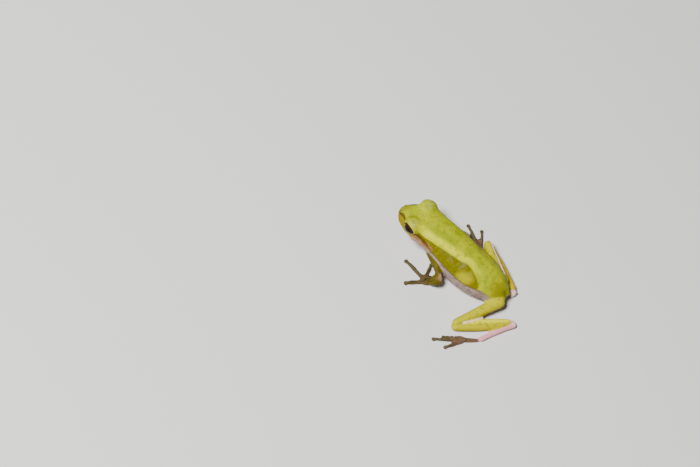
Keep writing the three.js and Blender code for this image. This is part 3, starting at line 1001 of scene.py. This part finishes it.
    def of_legs(self) -> dict[str, np.ndarray]:
        """The limbs' yellow with a painted highlight on the shanks, their hidden sides, the pale crease of
        the folded legs, heels and elbows.

        Returns:
            A value from 0 to 1 at every vertex, by the marking's name.
        """
        limb, parts = self.limb, self.parts
        bones = {bone.node: bone for bone in LIMBS}
        hidden = limb * steps(0.0, -0.55, self.normals[:, 2])
        for side in ("left", "right"):
            own = self.own("thigh_" + side)
            shank = bones["shank_" + side]
            start, end = (np.array(self.skin.place(*joint)) for joint in (shank.start, shank.end))
            step = end - start
            share = np.clip((self.at[own] - start) @ step / (step @ step), 0, 1)
            towards = start + share[:, None] * step - self.at[own]
            facing = (self.normals[own] * towards).sum(1) / np.linalg.norm(towards, axis=1)
            hidden[own] = np.maximum(hidden[own], 0.75 * limb[own] * steps(0.35, 0.9, facing))
        hidden = self.form.spread(hidden, 3)
        hidden *= np.where((self.left > 0) & (self.region(6, "thigh") > 0.5), 0.93, 1.0)
        # on the left leg the crease runs where thigh and shank touch
        first, second = self.form.first, self.form.second
        pair = [self.skin.nodes.index("thigh_left"), self.skin.nodes.index("shank_left")]
        meet = np.isin(parts[first], pair) & np.isin(parts[second], pair) & (parts[first] != parts[second])
        border = tree_of(self.at[first[meet]])
        own = np.flatnonzero(np.isin(parts, pair))
        knee = np.linalg.norm(self.at[own] - np.array(self.skin.place(*bones["thigh_left"].end)), axis=1)
        gap = np.array([border.find(point)[2] for point in self.at[own]])
        crease = np.zeros(len(self.at))
        crease[own] = bell(gap, 0.24) * steps(1.4, 2.6, knee)
        # on the right leg it runs along the fold, and the outer side of the leg is a deeper yellow
        gap, where = along(np.column_stack([self.ahead, self.aside]), FOLD)
        folded = bell(gap, 0.2 + 0.14 * where) * (self.left < -1.2) * (self.at[:, 2] > 2.5) * limb
        outside = steps(0.0, 0.5, height_on(FOLD, self.ahead) - self.aside) * (self.left < 0)
        # painted highlight: the side of each shank that faces the top of the view is painted brighter
        lit = steps(-0.1, 0.8, self.normals @ np.array([-0.66, -0.59, 0.47]))
        return {
            "limb": limb,
            "hidden": hidden,
            "crease": np.maximum(crease, folded),
            "outside": outside * limb,
            "shank_lit": self.region(6, "shank") * limb * lit,
            "heel": self.spots(HEELS, HEEL_WIDTH),
            "elbow": self.spots(ELBOWS, ELBOW_WIDTH) * (1 - self.body),
        # painted highlight on the upper side of the shanks
        }

    def of_paws(self) -> dict[str, np.ndarray]:
        """The brown of arms, hands and feet, darkened partly with painted shade, the pink of the shins and
        the darker digits, also partly painted shade.

        Returns:
            A value from 0 to 1 at every vertex, by the marking's name.
        """
        arm = self.region(8, "forearm", "upper_arm", "hand")
        arm *= np.clip(self.limb + self.region(8, "hand"), 0, 1)
        digits = np.zeros(len(self.at))
        for paw in PAWS:
            palm = np.array(self.skin.place(*paw.palm))[:2]
            onward = np.mean([self.skin.place(*tip) for tip in paw.tips], axis=0)[:2] - palm
            away = self.at[:, :2] - palm
            ends = steps(1.2, 3.0, np.linalg.norm(away, axis=1)) * steps(-1.0, 1.0, away @ onward)
            own = self.own(paw.node)
            digits[own] = ends[own]
        return {
            "arm": steps(0.1, 0.45, arm),
            "shin": self.region(14, "tarsus", "foot"),
            "toes": self.region(26, "hand", "foot"),
            "tips": digits,
        }

    def all(self) -> dict[str, np.ndarray]:
        """Every marking by its name."""
        return {**self.of_trunk(), **self.of_face(), **self.of_legs(), **self.of_paws()}


# ---------------------------------------------------------------- finishes


def linear(colour: str) -> tuple[float, float, float, float]:
    """Turns an sRGB hex colour to linear values."""
    parts = [int(colour[k : k + 2], 16) / 255 for k in (1, 3, 5)]
    return (*[v / 12.92 if v <= 0.04045 else ((v + 0.055) / 1.055) ** 2.4 for v in parts], 1.0)


def per_metre(size: float) -> float:
    """The scale that gives a pattern features of that many mm."""
    return 1 / (size * PER_MM)


class Finish:
    """A material being built: its tree, its shader and one way to add a node."""

    def __init__(self, name: str, **settings: object) -> None:
        """Starts a material.

        Args:
            name: the material's name.
            settings: values for its shader's own sockets; a hex colour is turned to linear values.
        """
        self.material = bpy.data.materials.new(name)
        self.material.use_nodes = True
        self.tree = self.material.node_tree
        self.shader = self.tree.nodes["Principled BSDF"]
        for key, value in settings.items():
            socket = self.shader.inputs[key.replace("_", " ").title().replace("Ior", "IOR")]
            socket.default_value = linear(value) if isinstance(value, str) else value

    def node(self, kind: str, values: dict, out: int | str = 0, **settings: object) -> Socket:
        """Adds a node.

        Args:
            kind: the node's type, without its ShaderNode prefix.
            values: what each input takes, by name or number: a socket to link, a hex colour or a value.
            out: which output is wanted.
            settings: the node's own settings.

        Returns:
            That output.
        """
        made = self.tree.nodes.new("ShaderNode" + kind)
        for name, value in settings.items():
            setattr(made, name, value)
        for key, value in values.items():
            if isinstance(value, Socket):
                self.tree.links.new(value, made.inputs[key])
            else:
                made.inputs[key].default_value = linear(value) if isinstance(value, str) else value
        return made.outputs[out]


@dataclass(frozen=True)
class MoistSkin:
    """Moist glandular frog skin: satin, finely grained, a little light passing through its thin parts.

    That gives the eye soft broad lights with no hard glints, and toes and webs that don't go black in shade.
    """

    back: str = "#8a9600"
    back_lit: str = "#a5aa00"
    mottle: str = "#6b780a"
    fleck: str = "#c2ba10"
    # painted highlight along the left side of the back, above the flank
    crest_highlight: str = "#dfdc08"
    # partly the flank's own deeper colour, partly painted shade
    flank: str = "#645e00"
    # painted highlight on the rear of the flank
    flank_highlight: str = "#a9a200"
    # painted shade over the left hip
    hip: str = "#6f6a08"
    shank_lit: str = "#f0ea20"
    snout: str = "#7d7420"
    # painted shade along the fold between flank and belly; the vent spot takes the same colour
    fold: str = "#4a3d0a"
    # the belly's own pink, darkened partly with painted shade
    belly: str = "#95827a"
    belly_blush: str = "#755a50"
    mask: str = "#4f360e"
    cheek: str = "#8a6636"
    gold: str = "#7a6a00"
    elbow: str = "#c3977c"
    lip: str = "#a87f6a"
    lids: str = "#a9ad62"
    limb: str = "#b2ab00"
    outside: str = "#b98d00"
    crease: str = "#f0cfae"
    hidden: str = "#a8846c"
    # the arms' own brown, darkened partly with painted shade
    arm: str = "#40320e"
    shin: str = "#dc98a0"
    heel: str = "#e2cbbb"
    # toes and digit tips: their own browns, darkened partly with painted shade
    toes: str = "#52432a"
    tips: str = "#4a472c"
    nostril: str = "#241c0a"
    # painted shade in the groove of the mouth
    mouth: str = "#6a5a2e"
    drum: str = "#84703a"
    # partly the lids' own pale edge, partly painted reflection
    rim: str = "#a98772"
    speck: str = "#39400a"

    def make(self) -> bpy.types.Material:
        """Builds the skin's material.

        Returns:
            The material, which reads the markings that the mesh carries.
        """
        f = Finish(
            "moist_frog_skin", specular_ior_level=0.09, coat_weight=0.02, coat_roughness=0.25, ior=1.36,
            subsurface_weight=0.12, subsurface_radius=(1.0, 0.5, 0.2), subsurface_scale=0.0004,
        )
        place = f.node("TexCoord", {}, "Object")
        patches, edge, fine = (
            f.node("TexNoise", {"Vector": place, "Scale": per_metre(size), "Detail": detail}, "Fac")
            for size, detail in ((2.6, 3.0), (0.8, 4.0), (0.24, 3.0))
        )
        colour = self.painted(f, patches, edge, fine)
        colour = self.specked(f, colour, place, patches)
        f.tree.links.new(colour, f.shader.inputs["Base Color"])
        self.grain(f, place, edge)
        return f.material

    def painted(self, f: Finish, patches: Socket, edge: Socket, fine: Socket) -> Socket:
        """Lays the colours over each other, from the back's own green to the finest marking.

        Args:
            f: the material.
            patches: noise of 2.6 mm.
            edge: noise of 0.8 mm, which also makes the markings' edges ragged.
            fine: noise of 0.24 mm.

        Returns:
            The colour.
        """
        ragged = f.node("Math", {0: edge, 1: 0.3, 2: -0.15}, operation="MULTIPLY_ADD")
        blush = f.node("MapRange", {0: edge, 1: 0.4, 2: 0.75}, interpolation_type="SMOOTHSTEP")
        belly = f.node("Mix", {0: blush, 6: self.belly, 7: self.belly_blush}, 2, data_type="RGBA")
        colour = self.back
        # what each colour follows, the values between which it comes in, and how much of it shows at most
        for guide, tint, low, high, most in (
            (patches, self.back_lit, 0.35, 0.65, 1.0),
            ("crest_highlight", self.crest_highlight, 0.1, 1.0, 0.62),
            ("flank", self.flank, 0.35, 0.65, 1.0),
            ("flank_highlight", self.flank_highlight, 0.2, 0.9, 0.8),
            ("limb", self.limb, 0.25, 0.75, 1.0),
            ("shank_lit", self.shank_lit, 0.2, 1.0, 0.8),
            ("lids", self.lids, 0.3, 0.9, 0.3),
            ("snout", self.snout, 0.2, 1.0, 0.6),
            (edge, self.mottle, 0.52, 0.68, 0.5),
            (fine, self.fleck, 0.55, 0.72, 0.3),
            ("belly", belly, 0.38, 0.6, 1.0),
            ("fold", self.fold, 0.4, 1.0, 0.55),
            ("outside", self.outside, 0.3, 0.8, 0.7),
            ("hidden", self.hidden, 0.35, 0.75, 1.0),
            ("crease", self.crease, 0.35, 0.8, 0.95),
            ("arm", self.arm, 0.3, 0.8, 0.9),
            ("shin", self.shin, 0.3, 0.8, 1.0),
            ("heel", self.heel, 0.35, 0.9, 0.9),
            ("elbow", self.elbow, 0.2, 1.0, 0.8),
            ("vent", self.fold, 0.2, 1.0, 0.8),
            ("hip", self.hip, 0.15, 0.9, 0.75),
            ("toes", self.toes, 0.25, 0.9, 0.95),
            ("tips", self.tips, 0.2, 1.0, 0.8),
            ("cheek", self.cheek, 0.3, 0.8, 0.9),
            ("lip", self.lip, 0.35, 0.8, 0.95),
            ("gold", self.gold, 0.2, 0.6, 0.95),
            ("drum", self.drum, 0.3, 0.8, 0.6),
            ("mask", self.mask, 0.35, 0.75, 0.92),
            ("mouth", self.mouth, 0.3, 0.9, 0.7),
            ("nostril", self.nostril, 0.3, 0.8, 0.9),
            ("rim", self.rim, 0.4, 0.8, 0.85),
        ):
            if isinstance(guide, str):
                worn = f.node("Attribute", {}, "Fac", attribute_name=guide)
                guide = f.node("Math", {0: worn, 1: ragged}, operation="ADD")
            span = {0: guide, 1: low, 2: high, 4: most}
            amount = f.node("MapRange", span, interpolation_type="SMOOTHSTEP")
            colour = f.node("Mix", {0: amount, 6: colour, 7: tint}, 2, data_type="RGBA")
        return colour

    def specked(self, f: Finish, colour: Socket, place: Socket, patches: Socket) -> Socket:
        """Adds dark specks 0.1 to 0.2 mm across, closer together in some patches and none on the belly.

        Args:
            f: the material.
            colour: the colour without specks.
            place: the place on the skin.
            patches: noise of 2.6 mm.

        Returns:
            The colour.
        """
        belly = f.node("Attribute", {}, "Fac", attribute_name="belly")
        bare = f.node("MapRange", {0: belly, 1: 0.5, 2: 0.3}, interpolation_type="SMOOTHSTEP")
        thick = f.node("MapRange", {0: patches, 1: 0.3, 2: 0.6}, interpolation_type="SMOOTHSTEP")
        spotted = f.node("Math", {0: bare, 1: thick}, operation="MULTIPLY")
        for size, chance in ((0.45, 0.6), (0.26, 0.5)):
            cells = f.node("TexVoronoi", {"Vector": place, "Scale": per_metre(size)}, "Distance")
            dot = f.node("MapRange", {0: cells, 1: 0.3, 2: 0.1}, interpolation_type="SMOOTHSTEP")
            lucky = f.node("TexWhiteNoise", {"Vector": cells.node.outputs["Position"]}, "Value")
            span = {0: lucky, 1: chance, 2: chance + 0.4, 4: 0.85}
            kept = f.node("MapRange", span, interpolation_type="SMOOTHSTEP")
            for part in (kept, spotted):
                dot = f.node("Math", {0: dot, 1: part}, operation="MULTIPLY")
            colour = f.node("Mix", {0: dot, 6: colour, 7: self.speck}, 2, data_type="RGBA")
        return colour

    def grain(self, f: Finish, place: Socket, edge: Socket) -> None:
        """Adds granules 0.2 mm across, with others of 0.36 mm on the belly, and an uneven gloss.

        Args:
            f: the material.
            place: the place on the skin.
            edge: noise of 0.8 mm.
        """
        height = f.node("Math", {0: edge, 1: 0.8}, operation="MULTIPLY")
        belly = f.node("Attribute", {}, "Fac", attribute_name="belly")
        coarse = f.node("MapRange", {0: belly, 1: 0.4, 2: 0.8, 4: 2.2}, interpolation_type="SMOOTHSTEP")
        for size, weight in ((0.2, 0.9), (0.36, coarse)):
            spaced = {"Vector": place, "Scale": per_metre(size)}
            cells = f.node("TexVoronoi", spaced, "Distance", feature="SMOOTH_F1")
            sunk = f.node("Math", {0: cells, 1: weight}, operation="MULTIPLY")
            height = f.node("Math", {0: height, 1: sunk}, operation="SUBTRACT")
        bump = f.node("Bump", {"Height": height, "Strength": 0.45, "Distance": 0.00004})
        f.tree.links.new(bump, f.shader.inputs["Normal"])
        rough = f.node("MapRange", {0: edge, 1: 0.3, 2: 0.7, 3: 0.42, 4: 0.58})
        f.tree.links.new(rough, f.shader.inputs["Roughness"])


@dataclass(frozen=True)
class WetEye:
    """A tree frog's eye: a narrow bronze iris and level black pupil under a clear wet cornea.

    That gives the eye one small sharp reflection over a depth that is almost black.
    """

    pupil: str = "#050302"
    ring: str = "#3c260b"
    fleck: str = "#4a2f0d"
    iris: str = "#2a1606"
    rim: str = "#120903"

    def make(self) -> bpy.types.Material:
        """Builds the eyeball's material.

        Returns:
            The material, which reads places on the eye from the eyeball's own map.
        """
        f = Finish(
            "wet_eye", roughness=0.4, specular_ior_level=0.0,
            coat_weight=0.4, coat_roughness=0.02, coat_ior=1.376,
        )
        at = f.node("UVMap", {}, uv_map="iris")
        x = f.node("SeparateXYZ", {0: at})
        y = x.node.outputs[1]
        away = f.node("VectorMath", {0: at}, "Value", operation="LENGTH")
        # the pupil is wide open: a level oval of 2.0 mm by 1.5 mm
        oval = f.node("VectorMath", {0: at, 1: (1.0, 0.76, 1.0)}, operation="DIVIDE")
        pupil = f.node("VectorMath", {0: oval, 1: oval}, "Value", operation="DOT_PRODUCT")
        # threads of the iris run outward from it
        angle = f.node("Math", {0: y, 1: x}, operation="ARCTAN2")
        turn = f.node("Math", {0: angle, 1: 6.0}, operation="MULTIPLY")
        polar = f.node("CombineXYZ", {0: turn, 1: away})
        threads = f.node("TexNoise", {"Vector": polar, "Scale": 3.0, "Detail": 5.0}, "Fac")
        veins = f.node("TexNoise", {"Vector": at, "Scale": 7.0, "Detail": 5.0, "Roughness": 0.65}, "Fac")
        colour = self.iris
        for guide, tint, low, high in (
            (threads, self.fleck, 0.42, 0.7),
            (veins, self.rim, 0.5, 0.66),
            (pupil, self.ring, 1.45, 1.15),
            (away, self.rim, 1.15, 1.42),
            (pupil, self.pupil, 1.1, 0.98),
        ):
            amount = f.node("MapRange", {0: guide, 1: low, 2: high}, interpolation_type="SMOOTHSTEP")
            colour = f.node("Mix", {0: amount, 6: colour, 7: tint}, 2, data_type="RGBA")
        f.tree.links.new(colour, f.shader.inputs["Base Color"])
        return f.material


# ---------------------------------------------------------------- the studio


@dataclass(frozen=True)
class Lamp:
    """A round, soft lamp that faces the frog."""

    name: str
    towards: tuple[float, float, float]  # which way it stands from the frog
    size: float  # across, in metres
    watts: float

    def build(self, aim: Vector, reach: float) -> None:
        """Sets up the lamp.

        Args:
            aim: the place that it faces, in mm.
            reach: how far from there it stands, in metres.
        """
        lamp = bpy.data.lights.new(self.name, "AREA")
        lamp.shape = "DISK"
        lamp.size = self.size
        lamp.energy = self.watts
        away = Vector(self.towards).normalized()
        turn = away.to_track_quat("Z", "Y").to_matrix().to_4x4()
        made_object(self.name, lamp).matrix_world = Matrix.Translation(aim * PER_MM + away * reach) @ turn


@dataclass
class Studio:
    """The pale floor, the soft lights and the camera."""

    aim: Vector  # the middle of the view, in mm
    azimuth: float = 109.27
    elevation: float = 59.77
    roll: float = 19.67
    distance: float = 374.9  # mm
    reach: float = 0.6  # metres from the aim to each lamp
    lamps: tuple[Lamp, ...] = (
        Lamp("key", (0.5, -0.17, 1.0), 0.15, 7.6),
        Lamp("fill", (0.82, -0.52, 0.34), 0.3, 0.2),
        Lamp("catchlight", (0.9, -0.42, 0.13), 0.06, 0.12),
    )

    def camera(self) -> None:
        """Looks down over the frog's left hip, from behind."""
        a, e, r = (math.radians(v) for v in (self.azimuth, self.elevation, self.roll))
        back = Vector((math.sin(a) * math.cos(e), -math.cos(a) * math.cos(e), math.sin(e)))
        level = Vector((math.cos(a), math.sin(a), 0.0))
        above = back.cross(level)
        right = level * math.cos(r) + above * math.sin(r)
        lens = bpy.data.cameras.new("camera")
        lens.lens, lens.sensor_width = 100.0, 36.0
        lens.clip_start, lens.clip_end = 0.01, 10.0
        turn = Matrix((right, back.cross(right), back)).transposed()
        made = made_object("camera", lens)
        made.matrix_world = Matrix.Translation((self.aim + back * self.distance) * PER_MM) @ turn.to_4x4()
        bpy.context.scene.camera = made

    def floor(self) -> None:
        """Lays matt floor paint under the frog, which takes a soft shadow and no reflection."""
        shape = bmesh.new()
        bmesh.ops.create_grid(shape, x_segments=1, y_segments=1, size=2.0)
        mesh = bpy.data.meshes.new("floor")
        shape.to_mesh(mesh)
        shape.free()
        mesh.materials.append(Finish("floor_paint", base_color="#dadad7", roughness=0.8).material)
        made_object("floor", mesh)

    def build(self) -> None:
        """Sets up the camera, the floor, the lamps and a faint light from all round."""
        self.camera()
        self.floor()
        for lamp in self.lamps:
            lamp.build(self.aim, self.reach)
        world = bpy.data.worlds.new("studio")
        world.use_nodes = True
        sky = world.node_tree.nodes["Background"]
        sky.inputs["Color"].default_value = (0.96, 0.97, 1.0, 1)
        sky.inputs["Strength"].default_value = 0.07
        bpy.context.scene.world = world


def main() -> None:
    """Builds the frog and its studio."""
    logging.basicConfig(level=logging.INFO, format="%(name)s: %(message)s")
    eyes = [Eye(side) for side in Side]
    skin = Skin(eyes)
    Studio(skin.middle + Vector((9.65, -9.03, -4.58))).build()
    body = skin.build()
    body.data.materials.append(MoistSkin().make())
    wet = WetEye().make()
    for eye in eyes:
        ball = eye.build()
        ball.data.materials.append(wet)
        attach(ball, "root")
        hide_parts(eye.node)
        log.info("%s: %d faces", ball.name, len(ball.data.polygons))
    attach(body, "root")
    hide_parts(*skin.nodes)


if __name__ == "__main__":
    main()
